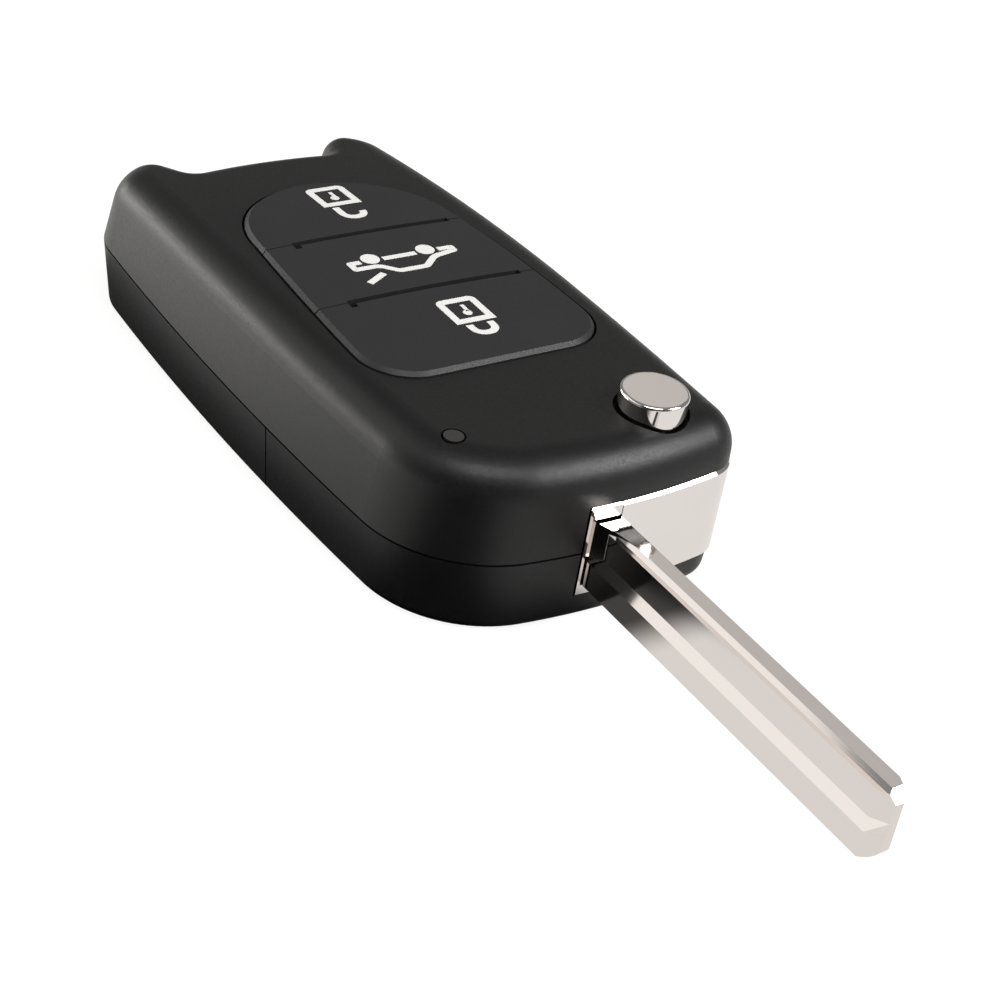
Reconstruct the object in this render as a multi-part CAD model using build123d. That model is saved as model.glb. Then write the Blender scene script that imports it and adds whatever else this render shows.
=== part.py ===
# Flip key with a remote: a moulded two-part case, three rubber keys, and a steel
# blade on a chromed head that swings out of the case when a round button is pushed.
# Frame: millimetres, +X towards the blade tip, +Y towards the pivot side, +Z up
# through the keys. The origin is the middle of the case's flat back.
from build123d import *
import math
import os

# Case outline
FRONT_X = 38.5            # foremost point of the bowed nose
TAIL_X = -36.5            # ends of the two tail horns
LEFT_HALF_WIDTH = 19.1    # widest point of the long side without the blade
RIGHT_HALF_WIDTH = 19.2   # widest point of the long side that takes the blade
LEFT_WIDEST_X = -4.0
RIGHT_WIDEST_X = 14.0
LEFT_BOW_RADIUS = 400.0
RIGHT_BOW_RADIUS = 600.0
NOSE_PEAK_Y = 4.0
NOSE_LEFT_FALL = 3.0      # how far the bowed nose falls back to each side
NOSE_RIGHT_FALL = 1.4
LEFT_NOSE_RADIUS = 13.0
RIGHT_NOSE_RADIUS = 4.5
TAIL_CORNER_RADIUS = 7.0

# Case heights
CASE_HEIGHT = 18.6
PARTING_Z = 8.2           # joint line between the upper and lower halves
PARTING_GROOVE = 0.24     # height of the narrow dark groove at the joint line
PARTING_GROOVE_DEPTH = 0.5
TOP_EDGE_RADIUS = 4.3
BOTTOM_EDGE_RADIUS = 1.5
UPPER_LEAN_LEFT = 1.5     # how far each wall of the upper half leans in at full height
UPPER_LEAN_RIGHT = 0.5
UPPER_LEAN_TAIL = 1.3
LOWER_LEAN = 0.8          # how far the lower side walls lean in at the flat back
CROWN_START_X = 8.0       # the top is flat ahead of this and falls to the tail
CROWN_RADIUS = 400.0
FAR = 60.0                # well clear of the key all round, for blocks that cut
WALL = 1.6
COVER_SEAM_X = 8.3        # joint between the lower case and the battery cover
SEAM_GAP = 0.2

# Tail notch for the key ring
NOTCH_FLOOR_X = -29.8
NOTCH_FLOOR_BOW = 0.6     # the floor bulges this far towards the tail
NOTCH_FLOOR_HALF = 8.4
NOTCH_MOUTH_HALF = 12.0
NOTCH_CORNER_RADIUS = 1.0
HORN_TIP_RADIUS = 2.6
RING_BAR_RADIUS = 0.9
RING_BAR_X = -34.7
RING_BAR_Z = 11.4
RING_BAR_HALF = 13.4      # half length, with its ends held in the horns

# Pivot, head and blade
PIVOT_X = 32.3
PIVOT_Y = 9.5
HEAD_FLOOR_Z = 3.0
HEAD_ROOF_Z = 13.4
HEAD_Z0 = 3.05
HEAD_Z1 = 13.2
HEAD_HALF_X = 5.75
HEAD_NEAR_Y = 10.2        # reach of the head on the blade side of the pivot
HEAD_CORNER_RADIUS = 4.5
HEAD_SHOULDER_RADIUS = 6.0
HEAD_BEVEL = 0.4
FLUSH_INSET = 0.04        # chromed pieces lie this far inside the case's outline
SWEEP_RADIUS = 12.1       # free space that the turning head needs
WINDOW_Y0 = -0.85         # near side of the opening in the nose
BLADE_Y0 = -0.2
BLADE_THICKNESS = 3.2
BLADE_Z0 = 4.2
BLADE_HEIGHT = 7.3
BLADE_ROOT_X = 30.4
BLADE_TIP_X = 80.4
BLADE_MILLING_X = 37.8    # where the milled steps begin
CUTTER_RADIUS = 14.0      # the milling runs out at the root on this radius
BLADE_FIT = 0.03
LAND_HEIGHT = 2.8         # proud land along one edge of each broad side
STEP_DEPTH = 0.85         # depth of the milled step beside it
STEP_RUN = 0.85           # height taken by the sloping wall of that step
EDGE_STEP_HEIGHT = 0.6    # second step, along the thin edge
EDGE_STEP_DEPTH = 0.25    # its narrow ledge
EDGE_SLOPE_DEPTH = 0.5    # and the slope from that ledge to the edge
TIP_NEAR_DEPTH = 1.4      # the blunt end face lies this far in from the near broad side
TIP_FAR_DEPTH = 0.85      # and this far in from the other one
TIP_BEVEL_LENGTH = 1.9
TIP_LAND_BEVEL_LENGTH = 1.3
TIP_LOWER_RADIUS = 1.3
TIP_UPPER_BEVEL = 1.0
PIN_X = 32.6
PIN_RADIUS = 0.8
PIN_BORE_RADIUS = 0.45
PIN_END_GAP = 0.4
COLLAR_X0 = 34.6
COLLAR_Y1 = 2.9
COLLAR_RIM = 0.3
COLLAR_HEADROOM = 0.3
COLLAR_GAP = 0.1

# Release button
BUTTON_RADIUS = 3.48
BUTTON_TOP_Z = 20.7
BUTTON_FOOT_Z = 6.6
BUTTON_EDGE_RADIUS = 0.35
BUTTON_TRAVEL = 2.0
BUTTON_RUNNING = 0.07
BUTTON_BORE_RADIUS = 2.75
BUTTON_ROOF = 1.3
BUTTON_RING_RADIUS = 3.83  # wider mouth that shows as a dark ring
BUTTON_RING_DEPTH = 1.0
EAR_REACH = 5.0
EAR_WIDTH = 2.2
EAR_Z0 = 11.8
EAR_Z1 = 13.3
EAR_CLEARANCE = 0.1
EAR_FLOOR_GAP = 0.2
LOCK_NOTCH_DEPTH = 1.6
BOSS_RADIUS = 6.2

# Spring and its retainer
SPRING_WIRE = 0.65
SPRING_RADIUS = 2.2
SPRING_TURNS = 9
SPRING_END_GAP = 0.02
RETAINER_FOOT = 6.4
RETAINER_FOOT_FIT = 0.05
RETAINER_FOOT_Z = 1.5
RETAINER_DISC_TOP = 4.4
RETAINER_SPIGOT_RADIUS = 1.6
RETAINER_SPIGOT_TOP = 7.0

# Slot in the side for the folded blade
SLOT_END_X = -17.2
SLOT_CLEARANCE = 0.5
SLOT_LINER = 1.1
HOUSING_ROOF = 0.6        # plate over the space where the head turns

# Keys
PAD_Y = 0.4
PAD_FRONT_X = 19.9
PAD_TAIL_X = -20.7
PAD_HALF_FRONT = 13.7
PAD_HALF_MIDDLE = 12.1
PAD_FRONT_CORNER = 5.6
PAD_RAISE = 0.45
PAD_BEVEL = 0.4
PAD_GAP = 0.28
KEY_SEAMS_X = (-6.4, 6.5)
SEAM_ARCH = 1.2
SEAM_WIDTH = 0.75         # wide middle part of the gap between two keys
SEAM_END_WIDTH = 0.16     # the keys nearly touch at the ends
SEAM_END_LENGTH = 3.4
SEAM_FAR_END_LENGTH = 1.6
KEY_FOOT_Z = 14.8
KEY_FLANGE = 0.8          # how far the flange reaches out under the roof
KEY_FLANGE_THICKNESS = 0.8
KEY_FLANGE_GAP = 0.1      # between the flange and the roof
MEMBRANE_Z0 = 14.1
MEMBRANE_MARGIN = 1.2
NUB_RADIUS = 1.6
SWITCH_XS = (-13.6, 0.0, 13.2)

# Board and cell
BOARD_Z0 = 11.0
BOARD_THICKNESS = 1.0
BOARD_TAIL_X = -27.6
BOARD_FRONT_X = 33.6
BOARD_Y0 = -16.6
BOARD_Y1 = 14.0
BOARD_CORNER = 2.0
BOARD_EDGE_GAP = 0.8
SWITCH_SIZE = 4.6
SWITCH_BODY = 1.2
SWITCH_STEM_RADIUS = 1.1
SWITCH_STEM = 0.5
LED_X = 29.6
LED_Y = -11.6
LED_HEIGHT = 0.6
LENS_RADIUS = 1.0
LENS_HOLE_RADIUS = 1.2
LENS_FLANGE_RADIUS = 1.8
LENS_FLANGE_GAP = 0.15
CELL_RADIUS = 10.0
CELL_THICKNESS = 3.2
CELL_X = -11.0
CELL_Y = -1.6
CELL_Z0 = 6.2
CONTACT_THICKNESS = 0.25
BOARD_SCREWS = ((-25.2, -10.5), (-25.2, 10.0))
SCREW_SHANK_RADIUS = 0.8
SCREW_HEAD_RADIUS = 1.5
SCREW_HEAD = 0.9
SCREW_TOP_Z = 14.8
POST_RADIUS = 2.0
CHIP_X = 24.8
CHIP_HOLDER_YS = (-14.6, -7.6)
COVER_RIB_XS = (-20.0, -11.0, -2.0)
COVER_RIB_TOP = 4.4
COVER_TONGUE_X = (-12.0, 5.0)
COVER_TONGUE_Y = (-16.6, -15.7)
COVER_TONGUE_RISE = 1.2


def box_between(x0, x1, y0, y1, z0, z1):
    """A box from one corner to the opposite one."""
    return Pos((x0 + x1) / 2, (y0 + y1) / 2, (z0 + z1) / 2) * Box(x1 - x0, y1 - y0, z1 - z0)


def disc(x, y, radius, z0, z1):
    """An upright cylinder."""
    return Pos(x, y, (z0 + z1) / 2) * Cylinder(radius, z1 - z0)


def bow(peak, radius, offset):
    """Fall of a bowed edge at a distance from its peak."""
    return peak - offset * offset / (2 * radius)


def side_point(x, left, inset=0.0):
    """Point on one of the two long bowed sides."""
    if left:
        return (x, inset - bow(LEFT_HALF_WIDTH, LEFT_BOW_RADIUS, x - LEFT_WIDEST_X))
    return (x, bow(RIGHT_HALF_WIDTH, RIGHT_BOW_RADIUS, x - RIGHT_WIDEST_X) - inset)


def plain_outline(inset=0.0, left=0.0, right=0.0, tail=0.0):
    """Plan of the case before the key-ring notch is taken out.

    It is drawn in all round by an inset, and a further distance at three sides.
    """
    front = FRONT_X - inset
    tail_x = TAIL_X + inset + tail
    nose_left = side_point(front - NOSE_LEFT_FALL, True, inset + left)
    nose_right = side_point(front - NOSE_RIGHT_FALL, False, inset + right)
    tail_left = side_point(tail_x, True, inset + left)
    tail_right = side_point(tail_x, False, inset + right)
    edges = [
        ThreePointArc(tail_left, side_point(LEFT_WIDEST_X, True, inset + left), nose_left),
        ThreePointArc(nose_left, (front, NOSE_PEAK_Y), nose_right),
        ThreePointArc(nose_right, side_point(RIGHT_WIDEST_X, False, inset + right), tail_right),
        Line(tail_right, tail_left),
    ]
    plan = make_face(edges)
    plan = fillet(plan.vertices().sort_by(Axis.X)[:2], TAIL_CORNER_RADIUS - inset)
    corner = plan.vertices().sort_by_distance(nose_left)[0]
    plan = fillet(corner, LEFT_NOSE_RADIUS - inset)
    corner = plan.vertices().sort_by_distance(nose_right)[0]
    return fillet(corner, RIGHT_NOSE_RADIUS - inset)


def notch_plan(grow=0.0):
    """Plan of the notch between the tail horns, reaching past the tail."""
    slope = (NOTCH_MOUTH_HALF - NOTCH_FLOOR_HALF) / (NOTCH_FLOOR_X - TAIL_X)
    far = NOTCH_FLOOR_X - TAIL_X + 9
    half = NOTCH_FLOOR_HALF + slope * far
    x_far = NOTCH_FLOOR_X - far
    left = (NOTCH_FLOOR_X, -NOTCH_FLOOR_HALF)
    right = (NOTCH_FLOOR_X, NOTCH_FLOOR_HALF)
    plan = make_face([
        ThreePointArc(left, (NOTCH_FLOOR_X - NOTCH_FLOOR_BOW, 0), right),
        Line(right, (x_far, half)),
        Line((x_far, half), (x_far, -half)),
        Line((x_far, -half), left),
    ])
    plan = fillet(plan.vertices().sort_by(Axis.X)[-2:], NOTCH_CORNER_RADIUS)
    if grow:
        plan = offset(plan, grow)
    return plan


def crown_block(shift=0.0):
    """Everything under the case's top surface, moved up or down by a shift."""
    top = CASE_HEIGHT + shift
    reach = FAR
    fall = bow(top, CROWN_RADIUS, reach)
    middle = bow(top, CROWN_RADIUS, reach / 2)
    side = make_face([
        Line((CROWN_START_X + reach, -5), (CROWN_START_X + reach, top)),
        Line((CROWN_START_X + reach, top), (CROWN_START_X, top)),
        ThreePointArc(
            (CROWN_START_X, top),
            (CROWN_START_X - reach / 2, middle),
            (CROWN_START_X - reach, fall),
        ),
        Line((CROWN_START_X - reach, fall), (CROWN_START_X - reach, -5)),
        Line((CROWN_START_X - reach, -5), (CROWN_START_X + reach, -5)),
    ])
    return extrude(Plane.XZ * side, amount=FAR, both=True)


def edges_above(body, z):
    """Edges that lie wholly above a height."""
    return [edge for edge in body.edges() if edge.bounding_box().min.Z > z]


def edges_below(body, z):
    """Edges that lie wholly below a height."""
    return [edge for edge in body.edges() if edge.bounding_box().max.Z < z]


def horn_edges(body):
    """Steep edges where the notch breaks out of the two tail horns."""
    found = []
    for edge in body.edges():
        box = edge.bounding_box()
        middle = edge.center()
        steep = box.size.Z > 1 and box.size.X + box.size.Y < box.size.Z / 3
        if steep and middle.X < TAIL_X + 3 and abs(middle.Y) > NOTCH_FLOOR_HALF + 2:
            found.append(edge)
    return found


def upper_form(inset=0.0):
    """Upper half without its edges rounded: the walls lean in, but the nose is upright."""
    low = Pos(0, 0, PARTING_Z) * plain_outline(inset)
    high = Pos(0, 0, CASE_HEIGHT) * plain_outline(
        inset, UPPER_LEAN_LEFT, UPPER_LEAN_RIGHT, UPPER_LEAN_TAIL)
    return loft([low, high], ruled=True) & crown_block(-inset)


def upper_outside():
    """Outside form of the upper half."""
    body = upper_form()
    body = fillet(edges_above(body, PARTING_Z + 2), TOP_EDGE_RADIUS)
    body -= extrude(Pos(0, 0, PARTING_Z - 1) * notch_plan(), CASE_HEIGHT)
    return fillet(horn_edges(body), HORN_TIP_RADIUS)


def lower_outside():
    """Outside form of the lower half; its sides and tail lean in towards the flat back."""
    low = plain_outline(0, LOWER_LEAN, LOWER_LEAN, LOWER_LEAN)
    body = loft([low, Pos(0, 0, PARTING_Z) * plain_outline()], ruled=True)
    body -= extrude(Pos(0, 0, -1) * notch_plan(), PARTING_Z + 2)
    body = fillet(horn_edges(body), HORN_TIP_RADIUS)
    return fillet(edges_below(body, 1), BOTTOM_EDGE_RADIUS)


def pad_plan(grow=0.0):
    """Plan of the three keys together: a blunt front and an arched tail."""
    front = PAD_HALF_FRONT
    middle = PAD_HALF_MIDDLE
    edges = [
        Line((PAD_FRONT_X, front), (PAD_FRONT_X, -front)),
        ThreePointArc((PAD_FRONT_X, -front), (2.0, -front + 0.55), (-9.0, -middle)),
        ThreePointArc((-9.0, -middle), (PAD_TAIL_X, 0), (-9.0, middle)),
        ThreePointArc((-9.0, middle), (2.0, front - 0.55), (PAD_FRONT_X, front)),
    ]
    plan = make_face(edges)
    plan = fillet(plan.vertices().sort_by(Axis.X)[-2:], PAD_FRONT_CORNER)
    plan = Pos(0, PAD_Y) * plan
    if grow:
        plan = offset(plan, grow)
    return plan


def blade_slot_box():
    """Space along the side that takes the folded blade."""
    y0 = 2 * PIVOT_Y - BLADE_Y0 - BLADE_THICKNESS - SLOT_CLEARANCE
    z0 = BLADE_Z0 - SLOT_CLEARANCE
    z1 = BLADE_Z0 + BLADE_HEIGHT + SLOT_CLEARANCE
    return box_between(SLOT_END_X, PIVOT_X, y0, FAR, z0, z1)


def blade_slot_liner():
    """Walls of the side slot, before the slot itself is cut."""
    y0 = 2 * PIVOT_Y - BLADE_Y0 - BLADE_THICKNESS - SLOT_CLEARANCE - SLOT_LINER
    z0 = BLADE_Z0 - SLOT_CLEARANCE - SLOT_LINER
    z1 = BLADE_Z0 + BLADE_HEIGHT + SLOT_CLEARANCE + SLOT_LINER
    return box_between(SLOT_END_X - SLOT_LINER, PIVOT_X, y0, FAR, z0, z1)


def head_space():
    """Space cut in both halves for the turning head and the open corner."""
    swept = disc(PIVOT_X, PIVOT_Y, SWEEP_RADIUS, HEAD_FLOOR_Z, HEAD_ROOF_Z)
    window = box_between(PIVOT_X, FAR, WINDOW_Y0, FAR, HEAD_FLOOR_Z, HEAD_ROOF_Z)
    return swept + window + blade_slot_box()


def parting_groove():
    """Shallow groove round the outside, just under the joint line."""
    outer = box_between(-FAR, FAR, -FAR, FAR, PARTING_Z - PARTING_GROOVE, PARTING_Z + 1)
    core = extrude(plain_outline(PARTING_GROOVE_DEPTH), PARTING_Z + 2)
    return outer - core


def upper_hollow():
    """Hollow of the upper half; the horns stay solid."""
    hollow = fillet(edges_above(upper_form(WALL), PARTING_Z + 2), TOP_EDGE_RADIUS - WALL)
    hollow -= extrude(Pos(0, 0, PARTING_Z - 1) * notch_plan(WALL), CASE_HEIGHT)
    return hollow & box_between(NOTCH_FLOOR_X + WALL, FAR, -FAR, FAR, PARTING_Z - 1, CASE_HEIGHT)


def button_boss():
    """Solid boss round the release button, hung from the roof."""
    boss = disc(PIVOT_X, PIVOT_Y, BOSS_RADIUS, HEAD_ROOF_Z, CASE_HEIGHT - 0.6)
    for turn in range(6):
        rib = box_between(0, SWEEP_RADIUS + SLOT_LINER / 2, -0.5, 0.5, HEAD_ROOF_Z, CASE_HEIGHT - 0.6)
        boss += Pos(PIVOT_X, PIVOT_Y, 0) * Rot(0, 0, 60 * turn + 30) * rib
    return boss


def button_bores():
    """Bore for the button, its wider mouth, and the two lock notches for its ears."""
    bore = disc(PIVOT_X, PIVOT_Y, BUTTON_RADIUS + BUTTON_RUNNING, HEAD_ROOF_Z - 1, FAR)
    mouth_z = CASE_HEIGHT - BUTTON_RING_DEPTH
    bore += disc(PIVOT_X, PIVOT_Y, BUTTON_RING_RADIUS, mouth_z, FAR)
    half = EAR_WIDTH / 2 + EAR_CLEARANCE
    reach = EAR_REACH + EAR_CLEARANCE
    top = HEAD_ROOF_Z + LOCK_NOTCH_DEPTH
    bore += box_between(
        PIVOT_X - half, PIVOT_X + half,
        PIVOT_Y - reach, PIVOT_Y + reach,
        HEAD_ROOF_Z - 1, top,
    )
    return bore


def make_front_case():
    """Upper half of the case, with the key opening, button boss and ring bar seats."""
    outside = upper_outside()
    body = outside - upper_hollow()
    housing_top = HEAD_ROOF_Z + HOUSING_ROOF
    housing = disc(PIVOT_X, PIVOT_Y, SWEEP_RADIUS + SLOT_LINER, PARTING_Z, housing_top)
    added = housing + blade_slot_liner() + button_boss()
    for x, y in BOARD_SCREWS:
        added += disc(x, y, POST_RADIUS, BOARD_Z0 + BOARD_THICKNESS, CASE_HEIGHT)
    added += disc(LED_X - 5.0, LED_Y - 2.4, POST_RADIUS, BOARD_Z0 + BOARD_THICKNESS, CASE_HEIGHT)
    above = box_between(-FAR, FAR, -FAR, FAR, PARTING_Z, CASE_HEIGHT)
    added = added & outside & above
    body += added & crown_block(-0.5)
    body -= head_space()
    body -= button_bores()
    opening = extrude(Pos(0, 0, KEY_FOOT_Z - 2) * pad_plan(PAD_GAP), 12)
    body -= opening
    body -= disc(LED_X, LED_Y, LENS_HOLE_RADIUS, PARTING_Z, FAR)
    body -= disc(LED_X, LED_Y, LENS_FLANGE_RADIUS + LENS_FLANGE_GAP, PARTING_Z, CASE_HEIGHT - WALL)
    half = RING_BAR_HALF + 0.01
    bar = Pos(RING_BAR_X, 0, RING_BAR_Z) * Rot(90, 0, 0) * Cylinder(RING_BAR_RADIUS, 2 * half)
    body -= bar
    for x, y in BOARD_SCREWS:
        body -= disc(x, y, SCREW_SHANK_RADIUS, BOARD_Z0, SCREW_TOP_Z)
    return body


def lower_shell():
    """Both pieces of the lower half while they are still one."""
    outside = lower_outside()
    inner = plain_outline(WALL, LOWER_LEAN, LOWER_LEAN, LOWER_LEAN) - notch_plan(WALL)
    reach = FAR
    inner &= Pos(NOTCH_FLOOR_X + WALL + reach, 0) * Rectangle(2 * reach, reach)
    body = outside - extrude(Pos(0, 0, WALL) * inner, PARTING_Z)
    raised = disc(PIVOT_X, PIVOT_Y, SWEEP_RADIUS + SLOT_LINER, 0.5, HEAD_FLOOR_Z)
    housing = disc(PIVOT_X, PIVOT_Y, SWEEP_RADIUS + SLOT_LINER, 0.5, PARTING_Z)
    housing -= disc(PIVOT_X, PIVOT_Y, SWEEP_RADIUS, 0, PARTING_Z + 1)
    below = box_between(-FAR, FAR, -FAR, FAR, 0.4, PARTING_Z)
    added = (raised + housing + blade_slot_liner()) & outside & below
    body += added
    return body - head_space() - parting_groove()


def make_back_case(shell):
    """Forward piece of the lower half, under the head."""
    body = shell & box_between(COVER_SEAM_X + SEAM_GAP / 2, FAR, -FAR, FAR, -1, PARTING_Z + 1)
    seat = RETAINER_FOOT + 2 * RETAINER_FOOT_FIT
    body -= Pos(PIVOT_X, PIVOT_Y, RETAINER_FOOT_Z + 5) * Box(seat, seat, 10)
    for y in CHIP_HOLDER_YS:
        body += box_between(CHIP_X - 4, CHIP_X + 4, y - 0.5, y + 0.5, WALL - 0.2, WALL + 2.4)
    return body


def make_battery_cover(shell):
    """Tail piece of the lower half, which slides off rearwards over the coin cell."""
    body = shell & box_between(-FAR, COVER_SEAM_X - SEAM_GAP / 2, -FAR, FAR, -1, PARTING_Z + 1)
    for x in COVER_RIB_XS:
        body += box_between(x - 0.5, x + 0.5, -14, 11, WALL - 0.2, COVER_RIB_TOP)
    x0, x1 = COVER_TONGUE_X
    y0, y1 = COVER_TONGUE_Y
    return body + box_between(x0, x1, y0, y1, WALL - 0.2, PARTING_Z + COVER_TONGUE_RISE)


def seam_strip(x, width, y0, y1):
    """Upright strip along one arched seam between two keys."""
    reach = 22.0
    sides = []
    for shift in (-width / 2, width / 2):
        sides.append(ThreePointArc(
            (x + shift, PAD_Y - reach),
            (x + shift - SEAM_ARCH, PAD_Y),
            (x + shift, PAD_Y + reach),
        ))
    ends = [Line(sides[0] @ 0, sides[1] @ 0), Line(sides[0] @ 1, sides[1] @ 1)]
    strip = extrude(make_face(sides + ends), FAR)
    return strip & box_between(-FAR, FAR, y0, y1, -1, FAR + 1)


def seam_cutters():
    """Gaps between the keys: hairline at the ends and wide in the middle."""
    y0 = PAD_Y - PAD_HALF_MIDDLE - 4
    y1 = PAD_Y + PAD_HALF_MIDDLE + 4
    cut = Part()
    for x in KEY_SEAMS_X:
        half = PAD_HALF_MIDDLE if x < 0 else PAD_HALF_FRONT - 0.8
        wide0 = PAD_Y - half + SEAM_END_LENGTH
        wide1 = PAD_Y + half - SEAM_FAR_END_LENGTH
        cut += seam_strip(x, SEAM_END_WIDTH, y0, y1)
        cut += seam_strip(x, SEAM_WIDTH, wide0, wide1)
        cut += box_between(x - 1.15, x, wide0 - 0.1, wide0 + 0.7, -1, 41)
    return cut


def make_keys():
    """The three rubber keys, from the tail to the nose."""
    plan = pad_plan()
    block = extrude(Pos(0, 0, KEY_FOOT_Z) * plan, 10)
    block &= crown_block(PAD_RAISE)
    block = chamfer(edges_above(block, KEY_FOOT_Z + 1), PAD_BEVEL)
    flange = extrude(Pos(0, 0, KEY_FOOT_Z) * offset(plan, PAD_GAP + KEY_FLANGE), 10)
    flange &= crown_block(-WALL - KEY_FLANGE_GAP)
    flange -= crown_block(-WALL - KEY_FLANGE_GAP - KEY_FLANGE_THICKNESS)
    block += flange
    block -= seam_cutters()
    return block.solids().sort_by(Axis.X)


def make_key_membrane():
    """Silicone sheet under the keys, with a nub over each switch."""
    sheet_z1 = KEY_FOOT_Z - 0.05
    plan = pad_plan(MEMBRANE_MARGIN)
    sheet = extrude(Pos(0, 0, MEMBRANE_Z0) * plan, sheet_z1 - MEMBRANE_Z0)
    top = BOARD_Z0 + BOARD_THICKNESS + SWITCH_BODY + SWITCH_STEM + 0.03
    for x in SWITCH_XS:
        sheet += disc(x, PAD_Y, NUB_RADIUS, top, MEMBRANE_Z0 + 0.1)
    return sheet


def make_led_lens():
    """Light pipe with a foot flange, flush with the top."""
    roof = CASE_HEIGHT - WALL
    lens = disc(LED_X, LED_Y, LENS_RADIUS, BOARD_Z0 + BOARD_THICKNESS + LED_HEIGHT + 0.1, CASE_HEIGHT)
    lens += disc(LED_X, LED_Y, LENS_FLANGE_RADIUS, roof - 0.9, roof - 0.02)
    return lens


def make_circuit_board():
    """Board cut round the head housing, with two screw holes."""
    y_middle = (BOARD_Y0 + BOARD_Y1) / 2
    length = BOARD_FRONT_X - BOARD_TAIL_X
    plan = Pos((BOARD_FRONT_X + BOARD_TAIL_X) / 2, y_middle) * RectangleRounded(
        length, BOARD_Y1 - BOARD_Y0, BOARD_CORNER)
    plan &= plain_outline(WALL + BOARD_EDGE_GAP)
    plan -= Pos(PIVOT_X, PIVOT_Y) * Circle(SWEEP_RADIUS + SLOT_LINER + 0.6)
    board = extrude(Pos(0, 0, BOARD_Z0) * plan, BOARD_THICKNESS)
    for x, y in BOARD_SCREWS:
        board -= disc(x, y, SCREW_SHANK_RADIUS + 0.1, BOARD_Z0 - 1, BOARD_Z0 + 3)
    return board


def make_key_switches():
    """Three identical push switches on the board, one under each key."""
    z0 = BOARD_Z0 + BOARD_THICKNESS
    parts = Part()
    for x in SWITCH_XS:
        switch = box_between(x - SWITCH_SIZE / 2, x + SWITCH_SIZE / 2,
                             PAD_Y - SWITCH_SIZE / 2, PAD_Y + SWITCH_SIZE / 2,
                             z0, z0 + SWITCH_BODY)
        switch += disc(x, PAD_Y, SWITCH_STEM_RADIUS, z0, z0 + SWITCH_BODY + SWITCH_STEM)
        parts += switch
    return parts


def make_board_led():
    """Small lamp on the board under the light pipe."""
    z0 = BOARD_Z0 + BOARD_THICKNESS
    return box_between(LED_X - 0.8, LED_X + 0.8, LED_Y - 0.4, LED_Y + 0.4, z0, z0 + LED_HEIGHT)


def make_coin_cell():
    """Button cell with the step of its negative cap."""
    can = disc(CELL_X, CELL_Y, CELL_RADIUS, CELL_Z0, CELL_Z0 + CELL_THICKNESS - 0.3)
    cap = disc(CELL_X, CELL_Y, CELL_RADIUS - 1.1, CELL_Z0, CELL_Z0 + CELL_THICKNESS)
    return chamfer(can.edges().group_by(Axis.Z)[0], 0.2) + cap


def make_upper_contact():
    """Sprung strip from the board down to the cell's cap."""
    x0 = CELL_X - 6
    x1 = CELL_X + 6
    z_low = CELL_Z0 + CELL_THICKNESS
    t = CONTACT_THICKNESS
    pad = box_between(x1 - 2, x1 + 2, CELL_Y - 2, CELL_Y + 2, BOARD_Z0 - t, BOARD_Z0)
    path = make_face(Polyline(
        (x1 - 2, BOARD_Z0),
        (CELL_X, z_low + t),
        (x0 + 1, z_low + 0.7 + t),
        (x0 + 1, z_low + 0.7),
        (CELL_X, z_low),
        (x1 - 2, BOARD_Z0 - t),
        (x1 - 2, BOARD_Z0),
    ))
    leaf = Pos(0, CELL_Y, 0) * extrude(Plane.XZ * path, amount=1.5, both=True)
    return pad + leaf


def make_lower_contact():
    """Clip that hangs from the board and carries the cell from below."""
    t = CONTACT_THICKNESS
    reach = CELL_RADIUS + 0.15
    clip = Part()
    for side in (-1, 1):
        y = CELL_Y + side * (reach + t / 2)
        y_in = CELL_Y + side * (CELL_RADIUS - 2.5)
        z0 = CELL_Z0 - t
        clip += box_between(CELL_X - 3, CELL_X + 3, y - t / 2, y + t / 2, z0, BOARD_Z0)
        low, high = sorted((y + side * t / 2, y_in))
        clip += box_between(CELL_X - 3, CELL_X + 3, low, high, z0, CELL_Z0)
    clip += box_between(CELL_X - 1.5, CELL_X + 1.5,
                        CELL_Y - reach, CELL_Y + reach, CELL_Z0 - t, CELL_Z0)
    return clip


def make_transponder():
    """Wedge chip held between two ribs in the lower case."""
    y0, y1 = (CHIP_HOLDER_YS[0] + 0.55, CHIP_HOLDER_YS[1] - 0.55)
    chip = box_between(CHIP_X - 5.5, CHIP_X + 5.5, y0, y1, WALL, WALL + 3.0)
    return fillet(chip.edges().filter_by(Axis.Z), 1.5)


def make_board_screws():
    """Two identical screws up through the board into the upper case."""
    screws = Part()
    for x, y in BOARD_SCREWS:
        screw = disc(x, y, SCREW_HEAD_RADIUS, BOARD_Z0 - SCREW_HEAD, BOARD_Z0)
        screw = fillet(screw.edges().group_by(Axis.Z)[0], 0.35)
        screw += disc(x, y, SCREW_SHANK_RADIUS, BOARD_Z0, SCREW_TOP_Z)
        for angle in (0, 90):
            slot = Rot(0, 0, angle) * Box(1.8, 0.35, 0.9)
            screw -= Pos(x, y, BOARD_Z0 - SCREW_HEAD) * slot
        screws += screw
    return screws


def make_ring_bar():
    """Steel bar between the tail horns that a key ring goes round."""
    bar = Pos(RING_BAR_X, 0, RING_BAR_Z) * Rot(90, 0, 0) * Cylinder(RING_BAR_RADIUS, 2 * RING_BAR_HALF)
    return chamfer(bar.edges(), 0.15)


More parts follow.
